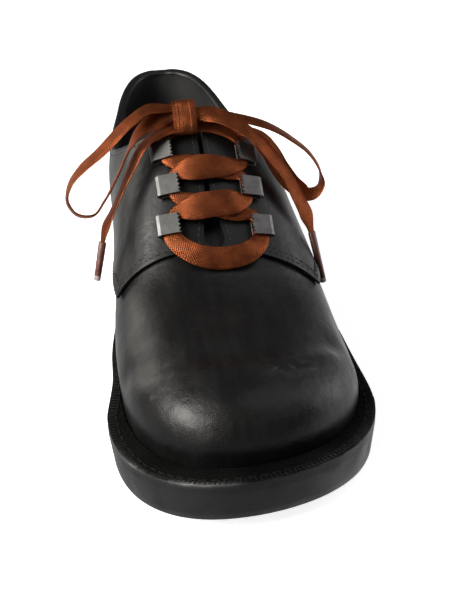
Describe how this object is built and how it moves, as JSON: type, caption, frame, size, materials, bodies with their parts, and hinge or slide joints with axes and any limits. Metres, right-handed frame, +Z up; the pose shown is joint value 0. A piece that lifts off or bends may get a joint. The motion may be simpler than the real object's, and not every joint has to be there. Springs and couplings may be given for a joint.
{
  "type": "lace-up shoe",
  "caption": "Black leather plain-toe derby for the left foot, with a wide welted rubber sole, folded metal lace clips and a flat rust lace tied in a bow.",
  "frame": {"origin": "on the floor under the middle of the sole's box", "axes": "+Z up, -Y towards the toe, +X to the outer side of the left foot"},
  "size_m": [0.1244, 0.302, 0.1209],
  "materials": {
    "sole_rubber": "black rubber, smooth satin side with a worn top edge",
    "welt_strip": "black, rough notched top",
    "insole_lining": "dark matte lining leather",
    "upper_leather": "smooth black calf, soft polish",
    "clip_metal": "satin gunmetal",
    "lace_webbing": "flat woven rust cotton",
    "aglet_plastic": "brown wrapped tip"
  },
  "bodies": {
    "root": {"outsole": "sole_rubber", "heel": "sole_rubber", "welt": "welt_strip", "insole": "insole_lining", "upper": "upper_leather", "quarter_medial": "upper_leather", "quarter_lateral": "upper_leather", "tongue": "upper_leather", "eyelet_clip_medial_1": "clip_metal", "eyelet_clip_medial_2": "clip_metal", "eyelet_clip_medial_3": "clip_metal", "eyelet_clip_lateral_1": "clip_metal", "eyelet_clip_lateral_2": "clip_metal", "eyelet_clip_lateral_3": "clip_metal", "lace_crossings": "lace_webbing", "lace_knot": "lace_webbing", "lace_loop_medial": "lace_webbing", "lace_loop_lateral": "lace_webbing", "lace_end_medial": "lace_webbing", "lace_end_lateral": "lace_webbing", "aglet_medial": "aglet_plastic", "aglet_lateral": "aglet_plastic"}
  },
  "joints": []
}
